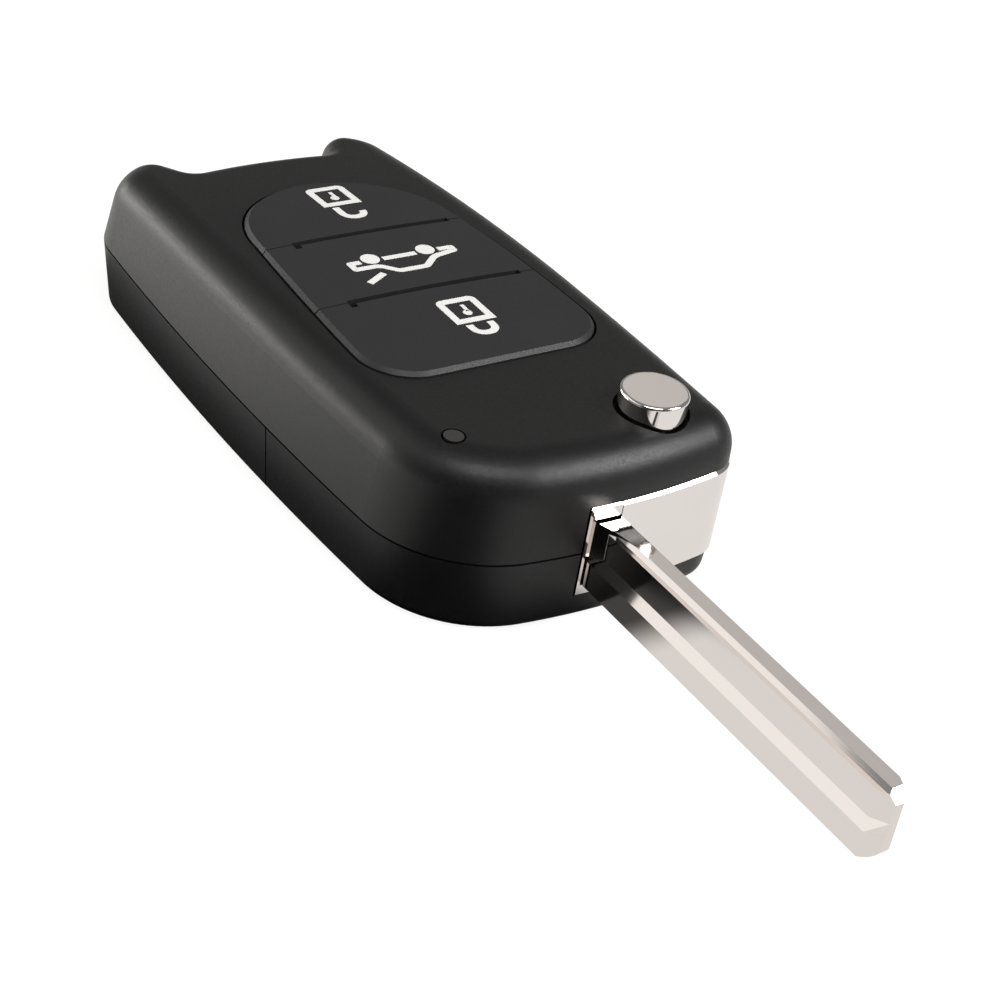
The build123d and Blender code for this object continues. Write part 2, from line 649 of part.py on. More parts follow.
def blade_milling():
    """Stock milled off one broad side of the blade, past the root."""
    z0 = BLADE_Z0
    z1 = BLADE_Z0 + BLADE_HEIGHT
    y0 = BLADE_Y0
    step_z = z0 + LAND_HEIGHT
    floor_y = y0 + STEP_DEPTH
    edge_z = z1 - EDGE_STEP_HEIGHT
    top_y = floor_y + EDGE_STEP_DEPTH + EDGE_SLOPE_DEPTH
    section = make_face(Polyline(
        (y0 - 1, step_z),
        (y0, step_z),
        (floor_y, step_z + STEP_RUN),
        (floor_y, edge_z),
        (floor_y + EDGE_STEP_DEPTH, edge_z),
        (floor_y + EDGE_STEP_DEPTH, edge_z + EDGE_STEP_DEPTH),
        (top_y, z1),
        (top_y, z1 + 1),
        (y0 - 1, z1 + 1),
        (y0 - 1, step_z),
    ))
    length = BLADE_TIP_X - BLADE_MILLING_X + 2
    stock = Pos(BLADE_MILLING_X, 0, 0) * extrude(Plane.YZ * section, length)
    depth = top_y - y0
    run = math.sqrt(CUTTER_RADIUS ** 2 - (CUTTER_RADIUS - depth) ** 2)
    start = (BLADE_MILLING_X, y0)
    deep = (BLADE_MILLING_X + run, top_y)
    half_run = run / 2
    half_depth = math.sqrt(CUTTER_RADIUS ** 2 - half_run ** 2) - (CUTTER_RADIUS - depth)
    end = (BLADE_TIP_X + 3, top_y)
    swept = make_face([
        ThreePointArc(start, (BLADE_MILLING_X + half_run, y0 + half_depth), deep),
        Line(deep, end),
        Line(end, (end[0], y0 - 2)),
        Line((end[0], y0 - 2), (start[0], y0 - 2)),
        Line((start[0], y0 - 2), start),
    ])
    return stock & extrude(swept, z1 + 2)


def half_turn_about_blade(shape):
    """The same shape turned half round the blade's own long axis."""
    y = BLADE_Y0 + BLADE_THICKNESS / 2
    z = BLADE_Z0 + BLADE_HEIGHT / 2
    return Pos(0, y, z) * Rot(180, 0, 0) * Pos(0, -y, -z) * shape


def tip_wedge(y, face_y, length, z0, z1):
    """Wedge taken off one broad side at the tip, from its surface to the blunt end face."""
    outward = math.copysign(1, y - face_y)
    start = BLADE_TIP_X - length
    end = BLADE_TIP_X + 0.01
    plan = make_face(Polyline(
        (start, y + outward), (start, y), (end, face_y), (end + 2, face_y),
        (end + 2, y + outward), (start, y + outward),
    ))
    return extrude(Pos(0, 0, z0) * plan, z1 - z0)


def tip_cut():
    """All that the wedge-shaped tip takes off the two broad sides."""
    near_y = BLADE_Y0 + TIP_NEAR_DEPTH
    y1 = BLADE_Y0 + BLADE_THICKNESS
    step_z = BLADE_Z0 + LAND_HEIGHT
    top = BLADE_Z0 + BLADE_HEIGHT + 1
    cut = tip_wedge(BLADE_Y0, near_y, TIP_LAND_BEVEL_LENGTH, BLADE_Z0 - 1, top)
    cut += tip_wedge(BLADE_Y0 + STEP_DEPTH, near_y, TIP_BEVEL_LENGTH, step_z, top)
    return cut + tip_wedge(y1, y1 - TIP_FAR_DEPTH, TIP_BEVEL_LENGTH, BLADE_Z0 - 1, top)


def make_key_blade():
    """Reversible blade: both broad sides milled alike, with a blunt wedge tip."""
    y1 = BLADE_Y0 + BLADE_THICKNESS
    z1 = BLADE_Z0 + BLADE_HEIGHT
    blade = box_between(BLADE_ROOT_X, BLADE_TIP_X, BLADE_Y0, y1, BLADE_Z0, z1)
    tip = blade.edges().filter_by(Axis.Y).sort_by(Axis.X)[-2:]
    blade = fillet(tip.sort_by(Axis.Z)[0], TIP_LOWER_RADIUS)
    upper = blade.edges().filter_by(Axis.Y).filter_by_position(Axis.Z, z1 - 0.01, z1 + 0.01)
    blade = chamfer(upper.sort_by(Axis.X)[-1], TIP_UPPER_BEVEL)
    milling = blade_milling()
    blade = blade - milling - half_turn_about_blade(milling) - tip_cut()
    return blade - disc(PIN_X, BLADE_Y0 + BLADE_THICKNESS / 2, PIN_RADIUS + BLADE_FIT, 0, FAR)


def make_blade_pin():
    """Slotted spring pin that holds the blade in the head."""
    y = BLADE_Y0 + BLADE_THICKNESS / 2
    z0 = HEAD_Z0 + PIN_END_GAP
    z1 = HEAD_Z1 - PIN_END_GAP
    pin = disc(PIN_X, y, PIN_RADIUS, z0, z1) - disc(PIN_X, y, PIN_BORE_RADIUS, z0 - 1, z1 + 1)
    return pin - box_between(PIN_X - 2, PIN_X, y - 0.15, y + 0.15, z0 - 1, z1 + 1)


def head_plan():
    """Plan of the head: flush with the case's nose and side, clear to turn behind."""
    x0 = PIVOT_X - HEAD_HALF_X
    y0 = PIVOT_Y - HEAD_NEAR_Y
    reach = FAR
    plan = Pos(x0 + reach / 2, y0 + reach / 2) * Rectangle(reach, reach)
    plan &= plain_outline(FLUSH_INSET)
    far = plan.vertices().sort_by_distance((x0, RIGHT_HALF_WIDTH))[0]
    plan = fillet(far, HEAD_CORNER_RADIUS)
    near = plan.vertices().sort_by_distance((x0, y0))[0]
    return fillet(near, HEAD_SHOULDER_RADIUS)


def make_blade_head():
    """Chromed head that carries the blade and turns about the button."""
    head = extrude(Pos(0, 0, HEAD_Z0) * head_plan(), HEAD_Z1 - HEAD_Z0)
    head = chamfer(edges_above(head, HEAD_Z1 - 0.1), HEAD_BEVEL)
    y0 = BLADE_Y0 - BLADE_FIT
    y1 = BLADE_Y0 + BLADE_THICKNESS + BLADE_FIT
    z0 = BLADE_Z0 - BLADE_FIT
    z1 = BLADE_Z0 + BLADE_HEIGHT + BLADE_FIT
    head -= box_between(BLADE_ROOT_X - BLADE_FIT, FRONT_X + 2, y0, y1, z0, z1)
    collar_y1 = COLLAR_Y1 + COLLAR_GAP
    head -= box_between(COLLAR_X0, FRONT_X + 2, -5, collar_y1, HEAD_Z0 - 1, HEAD_Z1 + 1)
    head -= disc(PIVOT_X, PIVOT_Y, BUTTON_RADIUS + BUTTON_RUNNING, 0, FAR)
    half = EAR_WIDTH / 2 + EAR_CLEARANCE
    reach = EAR_REACH + EAR_CLEARANCE
    head -= box_between(PIVOT_X - half, PIVOT_X + half, PIVOT_Y - reach, PIVOT_Y + reach,
                        EAR_Z0 - BUTTON_TRAVEL - EAR_FLOOR_GAP, FAR)
    pin_y = BLADE_Y0 + BLADE_THICKNESS / 2
    head -= disc(PIN_X, pin_y, PIN_RADIUS, HEAD_Z0 + PIN_END_GAP, FAR)
    return head


def make_blade_collar():
    """Chromed frame round the blade where it leaves the head."""
    y0 = PIVOT_Y - HEAD_NEAR_Y
    plan = Pos(COLLAR_X0 + 5, (y0 + COLLAR_Y1) / 2) * Rectangle(10, COLLAR_Y1 - y0)
    plan &= plain_outline(FLUSH_INSET)
    collar = extrude(Pos(0, 0, HEAD_Z0) * plan, HEAD_Z1 - HEAD_Z0)
    inner_z1 = BLADE_Z0 + BLADE_HEIGHT + COLLAR_HEADROOM
    collar -= box_between(0, FAR, y0 + COLLAR_RIM, FAR, BLADE_Z0 - 0.05, inner_z1)
    foot = box_between(COLLAR_X0, FRONT_X - 0.35, y0 + COLLAR_RIM, BLADE_Y0 + 0.3,
                       HEAD_Z0, BLADE_Z0 - 0.05)
    return chamfer(edges_above(collar, HEAD_Z1 - 0.1), 0.2) + foot


def make_release_button():
    """Round button, hollow for the spring, with two ears that key it to the head."""
    button = disc(PIVOT_X, PIVOT_Y, BUTTON_RADIUS, BUTTON_FOOT_Z, BUTTON_TOP_Z)
    button = fillet(button.edges().group_by(Axis.Z)[-1], BUTTON_EDGE_RADIUS)
    ears = box_between(PIVOT_X - EAR_WIDTH / 2, PIVOT_X + EAR_WIDTH / 2,
                       PIVOT_Y - EAR_REACH, PIVOT_Y + EAR_REACH, EAR_Z0, EAR_Z1)
    button += ears
    roof = BUTTON_TOP_Z - BUTTON_ROOF
    return button - disc(PIVOT_X, PIVOT_Y, BUTTON_BORE_RADIUS, 0, roof)


def make_flip_spring():
    """Coil that pushes the button up and swings the head open."""
    low = RETAINER_DISC_TOP + SPRING_WIRE / 2 + SPRING_END_GAP
    high = BUTTON_TOP_Z - BUTTON_ROOF - SPRING_WIRE / 2 - SPRING_END_GAP
    coil = Helix((high - low) / SPRING_TURNS, high - low, SPRING_RADIUS)
    path = Pos(PIVOT_X, PIVOT_Y, low) * coil
    start = path @ 0
    section = Plane(origin=start, z_dir=path % 0) * Circle(SPRING_WIRE / 2)
    return sweep(section, path, is_frenet=True)


def make_spring_retainer():
    """Square-footed plug that anchors the spring and steadies the head."""
    foot_z = RETAINER_FOOT_Z + 0.02
    foot = Pos(PIVOT_X, PIVOT_Y, (foot_z + HEAD_FLOOR_Z) / 2) * Box(
        RETAINER_FOOT, RETAINER_FOOT, HEAD_FLOOR_Z - foot_z)
    radius = BUTTON_RADIUS + BUTTON_RUNNING - 0.06
    plug = foot + disc(PIVOT_X, PIVOT_Y, radius, HEAD_FLOOR_Z, RETAINER_DISC_TOP)
    return plug + disc(PIVOT_X, PIVOT_Y, RETAINER_SPIGOT_RADIUS, HEAD_FLOOR_Z, RETAINER_SPIGOT_TOP)


def main():
    """Builds every piece and writes one file for each."""
    shell = lower_shell()
    unlock_key, boot_key, lock_key = make_keys()
    pieces = {
        "front_case": make_front_case(),
        "back_case": make_back_case(shell),
        "battery_cover": make_battery_cover(shell),
        "unlock_key": unlock_key,
        "boot_key": boot_key,
        "lock_key": lock_key,
        "key_membrane": make_key_membrane(),
        "led_lens": make_led_lens(),
        "circuit_board": make_circuit_board(),
        "key_switches": make_key_switches(),
        "board_led": make_board_led(),
        "coin_cell": make_coin_cell(),
        "upper_contact": make_upper_contact(),
        "lower_contact": make_lower_contact(),
        "transponder": make_transponder(),
        "board_screws": make_board_screws(),
        "ring_bar": make_ring_bar(),
        "key_blade": make_key_blade(),
        "blade_pin": make_blade_pin(),
        "blade_head": make_blade_head(),
        "blade_collar": make_blade_collar(),
        "release_button": make_release_button(),
        "flip_spring": make_flip_spring(),
        "spring_retainer": make_spring_retainer(),
    }
    os.makedirs("parts", exist_ok=True)
    for name, piece in pieces.items():
        export_step(piece, f"parts/{name}.step")
        print(name, round(piece.volume, 1))


if __name__ == "__main__":
    main()
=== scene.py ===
# %% [markdown]
# A flip key with its blade out
#
# A flip key is a car key and a remote in one. A black moulded case holds three rubber keys,
# a small lamp and a round release button, and the steel blade turns out of its side on a
# chromed head. The solids come from the CAD frame. This lesson gives them their finishes,
# prints the white pictograms on the keys, and lights the key as a studio would.

# %% Load the frame
import math

import bmesh
import bpy
from mathutils import Matrix, Vector


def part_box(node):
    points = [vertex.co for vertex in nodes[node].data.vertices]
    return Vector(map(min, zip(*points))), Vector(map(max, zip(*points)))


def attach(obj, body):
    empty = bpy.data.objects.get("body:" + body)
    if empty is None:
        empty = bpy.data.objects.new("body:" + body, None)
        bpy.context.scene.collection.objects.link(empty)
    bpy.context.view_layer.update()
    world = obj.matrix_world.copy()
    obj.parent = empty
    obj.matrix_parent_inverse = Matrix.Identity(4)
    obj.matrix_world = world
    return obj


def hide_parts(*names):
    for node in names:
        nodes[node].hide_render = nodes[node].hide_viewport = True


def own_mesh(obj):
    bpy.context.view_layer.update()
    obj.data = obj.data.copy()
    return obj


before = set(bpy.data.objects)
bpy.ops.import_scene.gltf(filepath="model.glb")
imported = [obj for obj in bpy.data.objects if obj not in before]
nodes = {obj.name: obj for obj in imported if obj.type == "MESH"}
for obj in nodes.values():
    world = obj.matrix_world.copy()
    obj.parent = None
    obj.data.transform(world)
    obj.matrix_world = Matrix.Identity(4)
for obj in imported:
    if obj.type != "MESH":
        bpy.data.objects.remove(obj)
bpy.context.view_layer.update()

bpy.context.scene.view_settings.view_transform = "Standard"

# %% [markdown]
# Sizes and colours
#
# Everything in Blender is in metres, but a key is thought of in millimetres, so one factor
# turns them over. Colours are written as the hex values that a screen shows. Cycles works in
# linear light, so one function turns them.

# %% Millimetres and screen colours
MM = 0.001


def linear(hex_code):
    """Turns a screen colour such as #1b1b1c to linear red, green, blue and alpha."""
    channels = []
    for start in (1, 3, 5):
        value = int(hex_code[start:start + 2], 16) / 255
        low = value <= 0.04045
        channels.append(value / 12.92 if low else ((value + 0.055) / 1.055) ** 2.4)
    return (*channels, 1.0)


print("mid grey is", [round(c, 3) for c in linear("#808080")])

# %% [markdown]
# One way to add a node
#
# Each finish is a small node tree. A tree is easier to read when every node is added by the
# same call: its kind, then its settings, then what feeds it. A setting is put on the node or
# on one of its input sockets, whichever has that name.

# %% Add a node


def add_node(tree, kind, settings=None, links=None):
    """Adds a node, sets it, and links the sockets named on the left from those on the right."""
    node = tree.nodes.new(kind)
    for name, value in (settings or {}).items():
        if isinstance(name, int) or name in node.inputs:
            node.inputs[name].default_value = value
        else:
            setattr(node, name, value)
    for name, source in (links or {}).items():
        tree.links.new(source, node.inputs[name])
    return node


def new_material(name):
    """A material with an empty tree, and that tree."""
    material = bpy.data.materials.new(name)
    material.use_nodes = True
    material.node_tree.nodes.clear()
    return material, material.node_tree


# %% [markdown]
# The camera
#
# The picture is taken from in front, above and to the left, with a longish lens, and the key
# lies a little turned in it. The camera is placed by its spot in space and by three angles:
# the bearing it looks along, how steeply it looks down, and its roll.

# %% Place the camera
CAMERA_SPOT = (165.80, -114.57, 126.6)
CAMERA_BEARING = 51.15
CAMERA_ELEVATION = 33.78
CAMERA_ROLL = 10.04
LENS_MM = 78.6
SENSOR_MM = 36.0
NEAREST_SEEN_MM = 10

camera = bpy.data.objects.new("camera", bpy.data.cameras.new("camera"))
camera.data.lens = LENS_MM
camera.data.sensor_width = SENSOR_MM
camera.data.clip_start = NEAREST_SEEN_MM * MM
turn = Matrix.Rotation(math.radians(CAMERA_BEARING), 4, "Z")
tilt = Matrix.Rotation(math.radians(90 - CAMERA_ELEVATION), 4, "X")
roll = Matrix.Rotation(math.radians(CAMERA_ROLL), 4, "Z")
camera.matrix_world = Matrix.Translation(Vector(CAMERA_SPOT) * MM) @ turn @ tilt @ roll
bpy.context.scene.collection.objects.link(camera)
bpy.context.scene.camera = camera
print("camera", round(Vector(CAMERA_SPOT).length), "mm from the origin")

# %% [markdown]
# The room
#
# Small shiny goods are lit by what they reflect. The world gives a plain level of light. For
# reflections it is even too, but falls off to dark on the side where the camera stands, as a
# studio does, and that draws a black band on edges which face the viewer. How far a direction
# points to that side is the dot product of the two: 1 straight at it, 0 square to it. The
# camera alone sees the world white, which keeps the background clean without more light on
# the key.

# %% Make the world
ROOM_LEVEL = 0.45
MIRRORED_LEVEL = 0.24
DARK_LEVEL = 0.05
VIEWER_SIDE = (0.78, -0.62, 0.05)
DIM_FROM = 0.35
DARK_FROM = 0.85

world = bpy.data.worlds.new("studio")
bpy.context.scene.world = world
world.use_nodes = True
tree = world.node_tree
tree.nodes.clear()
ray = add_node(tree, "ShaderNodeLightPath")
sky = add_node(tree, "ShaderNodeTexCoord")
facing = add_node(tree, "ShaderNodeVectorMath", {"operation": "DOT_PRODUCT", 1: VIEWER_SIDE}, {
    0: sky.outputs["Generated"]})
level = add_node(tree, "ShaderNodeMapRange", {
    "interpolation_type": "SMOOTHSTEP", "From Min": DIM_FROM, "From Max": DARK_FROM,
    "To Min": MIRRORED_LEVEL, "To Max": DARK_LEVEL}, {"Value": facing.outputs["Value"]})
room = add_node(tree, "ShaderNodeBackground", {"Color": linear("#fffdfb"), "Strength": ROOM_LEVEL})
mirrored = add_node(tree, "ShaderNodeBackground", {"Color": linear("#fffcf9")}, {
    "Strength": level.outputs[0]})
white = add_node(tree, "ShaderNodeBackground", {"Color": linear("#ffffff"), "Strength": 1.0})
glossy = add_node(tree, "ShaderNodeMixShader", links={
    0: ray.outputs["Is Glossy Ray"], 1: room.outputs[0], 2: mirrored.outputs[0]})
seen = add_node(tree, "ShaderNodeMixShader", links={
    0: ray.outputs["Is Camera Ray"], 1: glossy.outputs[0], 2: white.outputs[0]})
add_node(tree, "ShaderNodeOutputWorld", links={"Surface": seen.outputs[0]})
print("the room is", ROOM_LEVEL, "and reflects as", MIRRORED_LEVEL, "to", DARK_LEVEL)

# %% [markdown]
# Softboxes
#
# A long low softbox on the left brightens the side of the case and its rounded edge. One past
# the nose, on the right, draws the bright line over the nose, and a long one above the camera
# carries that line round the near corner. Three much weaker ones are the pale cards that a
# photographer stands round metal: the slopes of the blade mirror the left one, the flat tops
# of the blade and the button mirror the one behind, and the facets of the tip mirror the near
# one. An area lamp's power is spread over its face, so it is set here by the brightness of
# that face, and the power is worked out. All six stand equally far off. Their distance and
# their sides are in metres.

# %% Place the softboxes
AIM = Vector((20, 0, 8)) * MM
LAMP_DISTANCE = 0.75


def add_softbox(name, toward, width, height, brightness, tint="#ffffff"):
    """A rectangular lamp that faces the key from a direction."""
    lamp = bpy.data.lights.new(name, "AREA")
    lamp.shape = "RECTANGLE"
    lamp.size = width
    lamp.size_y = height
    lamp.energy = brightness * math.pi * width * height
    lamp.color = linear(tint)[:3]
    box = bpy.data.objects.new(name, lamp)
    direction = Vector(toward).normalized()
    box.location = AIM + direction * LAMP_DISTANCE
    box.rotation_euler = direction.to_track_quat("Z", "Y").to_euler()
    bpy.context.scene.collection.objects.link(box)


add_softbox("low_softbox", (-0.83, -0.54, 0.10), 0.62, 0.12, 11.0, "#fffdfa")
add_softbox("nose_softbox", (0.58, 0.54, 0.58), 0.36, 0.34, 13.0)
add_softbox("corner_softbox", (0.42, -0.25, 0.87), 0.56, 0.20, 8.0)
add_softbox("left_card", (-0.53, -0.53, 0.66), 0.58, 0.36, 0.85, "#fffdfa")
add_softbox("near_card", (-0.06, -0.77, 0.64), 0.30, 0.22, 0.75)
add_softbox("back_card", (-0.58, 0.58, 0.58), 0.34, 0.20, 0.36, "#fffaf6")

# %% Lay the sheet
FLOOR_REACH = 1.5

mesh = bpy.data.meshes.new("floor")
sheet = bmesh.new()
bmesh.ops.create_grid(sheet, x_segments=1, y_segments=1, size=FLOOR_REACH)
sheet.to_mesh(mesh)
sheet.free()
floor = bpy.data.objects.new("floor", mesh)
bpy.context.scene.collection.objects.link(floor)
paper, tree = new_material("matt_paper")
floor.data.materials.append(paper)
ray = add_node(tree, "ShaderNodeLightPath")
place = add_node(tree, "ShaderNodeTexCoord")
print("floor", FLOOR_REACH * 2, "m across")

# %% [markdown]
# Painted shade and light on the sheet
#
# Polished metal mirrors the sheet, so the sheet glows for it. Shade and light are painted into
# that glow. A painted shade dims it in a band along the key's left side, and in a fan that opens
# towards the viewer, where a real camera would stand in its own light. Farther out on the left a
# painted pool of light makes it glow more, where the low softbox would light the sheet. Each of
# the three is worked out from the place on the sheet and turned to a factor that changes
# smoothly over its edge. The band measures how far a place lies outside a rectangle, the fan
# compares directions by their dot product, and the pool is a plain distance.

# %% The painted shade band beside the key
# Painted shade: the mirrored glow drops to the remainder inside this band beside the key.
PAINTED_SHADE_BAND = ((-38, -19.5), (38.5, -1))
BAND_EDGE = (2, 8)
BAND_REMAINDER = 0.08

(x0, y0), (x1, y1) = PAINTED_SHADE_BAND
from_middle = add_node(tree, "ShaderNodeVectorMath", {
    "operation": "SUBTRACT", 1: Vector(((x0 + x1) / 2, (y0 + y1) / 2, 0)) * MM}, {
    0: place.outputs["Object"]})
either_way = add_node(tree, "ShaderNodeVectorMath", {"operation": "ABSOLUTE"}, {
    0: from_middle.outputs[0]})
beyond = add_node(tree, "ShaderNodeVectorMath", {
    "operation": "SUBTRACT", 1: Vector(((x1 - x0) / 2, (y1 - y0) / 2, 0)) * MM}, {
    0: either_way.outputs[0]})
outside = add_node(tree, "ShaderNodeVectorMath", {"operation": "MAXIMUM", 1: (0, 0, 0)}, {
    0: beyond.outputs[0]})
from_band = add_node(tree, "ShaderNodeVectorMath", {"operation": "LENGTH"}, {0: outside.outputs[0]})
out_of_band = add_node(tree, "ShaderNodeMapRange", {
    "interpolation_type": "SMOOTHSTEP", "From Min": BAND_EDGE[0] * MM, "From Max": BAND_EDGE[1] * MM,
    "To Min": BAND_REMAINDER, "To Max": 1.0}, {"Value": from_band.outputs["Value"]})
print("the band is", x1 - x0, "by", y1 - y0, "mm")

# %% The painted shade fan towards the viewer
# Painted shade: the mirrored glow drops to the remainder inside this fan.
FAN_ORIGIN = (20, -2, 0)
FAN_HEADING = (0.707, -0.707, 0)
FAN_EDGE = (0.97, 0.86)
FAN_REMAINDER = 0.05

from_fan = add_node(tree, "ShaderNodeVectorMath", {
    "operation": "SUBTRACT", 1: Vector(FAN_ORIGIN) * MM}, {0: place.outputs["Object"]})
heading = add_node(tree, "ShaderNodeVectorMath", {"operation": "NORMALIZE"}, {
    0: from_fan.outputs[0]})
towards = add_node(tree, "ShaderNodeVectorMath", {
    "operation": "DOT_PRODUCT", 1: FAN_HEADING}, {0: heading.outputs[0]})
out_of_fan = add_node(tree, "ShaderNodeMapRange", {
    "interpolation_type": "SMOOTHSTEP", "From Min": FAN_EDGE[0], "From Max": FAN_EDGE[1],
    "To Min": FAN_REMAINDER, "To Max": 1.0}, {"Value": towards.outputs["Value"]})
print("the fan is dark within", round(math.degrees(math.acos(FAN_EDGE[0]))), "degrees")

# %% The painted pool of light
MIRROR_GLOW = 0.87
# Painted light: the mirrored glow rises in this pool to the left of the key.
POOL_MIDDLE = (-60, -110, 0)
POOL_EDGE = (105, 35)
PAINTED_POOL_GLOW = 2.9

from_pool = add_node(tree, "ShaderNodeVectorMath", {
    "operation": "DISTANCE", 1: Vector(POOL_MIDDLE) * MM}, {0: place.outputs["Object"]})
pool = add_node(tree, "ShaderNodeMapRange", {
    "interpolation_type": "SMOOTHSTEP", "From Min": POOL_EDGE[0] * MM, "From Max": POOL_EDGE[1] * MM,
    "To Min": MIRROR_GLOW, "To Max": PAINTED_POOL_GLOW}, {"Value": from_pool.outputs["Value"]})
# The painted shade of band and fan, times the painted pool of light, sets the mirrored glow.
painted_shade = add_node(tree, "ShaderNodeMath", {"operation": "MULTIPLY"}, {
    0: out_of_band.outputs[0], 1: out_of_fan.outputs[0]})
painted_shade_and_light = add_node(tree, "ShaderNodeMath", {"operation": "MULTIPLY"}, {
    0: painted_shade.outputs[0], 1: pool.outputs[0]})
print("the sheet glows", MIRROR_GLOW, "and in the pool", PAINTED_POOL_GLOW)

# %% [markdown]
# The paper
#
# The sheet must look nearly white and still hold a faint shadow. So the camera sees mostly
# an even white glow, with a share of real matt paper under it. A mirrored ray sees the glow
# with the painted shade and the painted pool of light worked out above, and every other ray
# sees the paper alone.

# %% Mix the paper and its glow
SHADOW_SHARE = 0.15
GLOW_LEVEL = 1.05

matt = add_node(tree, "ShaderNodeBsdfDiffuse", {"Color": linear("#f4f2f1"), "Roughness": 0.5})
glow = add_node(tree, "ShaderNodeEmission", {"Color": linear("#ffffff"), "Strength": GLOW_LEVEL})
# This glow holds the painted shade and the painted pool of light, for mirrored rays only.
mirror_glow = add_node(tree, "ShaderNodeEmission", {"Color": linear("#fffdfb")}, {
    "Strength": painted_shade_and_light.outputs[0]})
share = add_node(tree, "ShaderNodeMixShader", {0: SHADOW_SHARE}, {
    1: glow.outputs[0], 2: matt.outputs[0]})
other = add_node(tree, "ShaderNodeMixShader", links={
    0: ray.outputs["Is Glossy Ray"], 1: matt.outputs[0], 2: mirror_glow.outputs[0]})
seen = add_node(tree, "ShaderNodeMixShader", links={
    0: ray.outputs["Is Camera Ray"], 1: other.outputs[0], 2: share.outputs[0]})
add_node(tree, "ShaderNodeOutputMaterial", links={"Surface": seen.outputs[0]})
print(paper.name, "has", len(tree.nodes), "nodes")

# %% [markdown]
# Moulded and grained finishes
#
# Every finish of the key is a base colour that wanders between two near ones, with a fine
# grain. The grain comes from a noise whose cells have a real size, so the noise scale is 1000
# divided by that size in millimetres. The same noise moves the roughness a little, which
# breaks up the highlight as a spark-eroded mould does, and gives a relief of a few
# thousandths of a millimetre. A noise seldom leaves its middle range, so that range is spread
# over the whole of the roughness. The Mix node has sockets of the same name for each kind of
# data, so those for colour go by number.

# %% A grained finish
NOISE_LOW = 0.3
NOISE_HIGH = 0.7


def grained(name, dark, light, roughness, grain_mm, bump_mm, metallic=0.0, specular=0.5,
            spread=0.06, stretch=(1.0, 1.0, 1.0), blotch_mm=9.0):
    """A finish whose colour, roughness and relief follow a fine noise."""
    material, tree = new_material(name)
    place = add_node(tree, "ShaderNodeTexCoord")
    drawn = add_node(tree, "ShaderNodeMapping", {"Scale": stretch}, {
        "Vector": place.outputs["Object"]})
    grain = add_node(tree, "ShaderNodeTexNoise", {
        "Scale": 1000 / grain_mm, "Detail": 3.0, "Roughness": 0.6}, {
        "Vector": drawn.outputs[0]})
    blotch = add_node(tree, "ShaderNodeTexNoise", {
        "Scale": 1000 / blotch_mm, "Detail": 2.0, "Roughness": 0.5}, {
        "Vector": drawn.outputs[0]})
    colour = add_node(tree, "ShaderNodeMix", {"data_type": "RGBA", 6: linear(dark), 7: linear(light)}, {
        0: blotch.outputs[0]})
    shine = add_node(tree, "ShaderNodeMapRange", {
        "From Min": NOISE_LOW, "From Max": NOISE_HIGH,
        "To Min": roughness - spread, "To Max": roughness + spread}, {
        "Value": grain.outputs[0]})
    relief = add_node(tree, "ShaderNodeBump", {"Strength": 1.0, "Distance": bump_mm * MM}, {
        "Height": grain.outputs[0]})
    shader = add_node(tree, "ShaderNodeBsdfPrincipled", {
        "Metallic": metallic, "Specular IOR Level": specular}, {
        "Base Color": colour.outputs[2], "Roughness": shine.outputs[0],
        "Normal": relief.outputs[0]})
    add_node(tree, "ShaderNodeOutputMaterial", links={"Surface": shader.outputs[0]})
    return material


def dress(material, *names):
    """Puts one finish on some of the frame's nodes."""
    for name in names:
        for slot in nodes[name].material_slots:
            slot.material = material
    print(material.name, "on", ", ".join(names))


# %% [markdown]
# The case
#
# The case is moulded ABS from a spark-eroded mould: near black, with a fine matt grain that
# spreads every highlight into a soft grey band. The real grain is about 0.1 mm, too fine for
# this picture, so it is drawn at 0.28 mm.

# %% Dress the case
case_abs = grained("moulded_black_abs", "#090909", "#0d0d0e", 0.42, 0.28, 0.006, specular=0.38)
dress(case_abs, "front_case", "back_case", "battery_cover")

# %% [markdown]
# The rubber keys
#
# The three keys are moulded silicone rubber. Rubber is a little paler than the case and
# scatters light more evenly, so the keys look flatter and softer than the plastic round them.
# The sheet that they stand on is a greyer silicone, and it is hidden under them.

# %% Dress the keys
key_rubber = grained("moulded_silicone_rubber", "#1b1b1c", "#212122", 0.5, 0.22, 0.006,
                     specular=0.4)
dress(key_rubber, "unlock_key", "boot_key", "lock_key")
sheet_rubber = grained("grey_silicone_sheet", "#4a4a4c", "#555557", 0.6, 0.3, 0.01)
dress(sheet_rubber, "key_membrane")

# %% [markdown]
# The bright head
#
# The head, its collar and the release button are zinc castings, polished and chromed. Chrome
# is a nearly perfect mirror, so its look is the room's. Polishing leaves a very faint
# waviness, and that is all its noise does.

# %% Dress the head, collar and button
chrome = grained("polished_chrome", "#e9e4e1", "#efeae7", 0.05, 1.6, 0.0006, metallic=1.0,
                 spread=0.015)
dress(chrome, "blade_head", "blade_collar", "release_button")

# %% [markdown]
# The blade
#
# The blade is steel, milled lengthwise and then nickel plated. The cutter leaves faint lines
# along it, so its noise is stretched: a cell is 0.16 mm wide and some thirty times as long.

# %% Dress the blade
LINE_STRETCH = (0.03, 1.0, 1.0)
nickel = grained("nickel_plated_steel", "#e2dcd8", "#e8e2de", 0.09, 0.16, 0.0005, metallic=1.0,
                 spread=0.02, stretch=LINE_STRETCH)
dress(nickel, "key_blade")

# %% [markdown]
# A finished piece
#
# Each new piece ends in the same way. Its bmesh becomes a mesh, the mesh an object at the
# world's origin, and the object takes its finish, the body that it moves with, and the slot
# that another scene can repaint.

# %% Make a piece of a shape


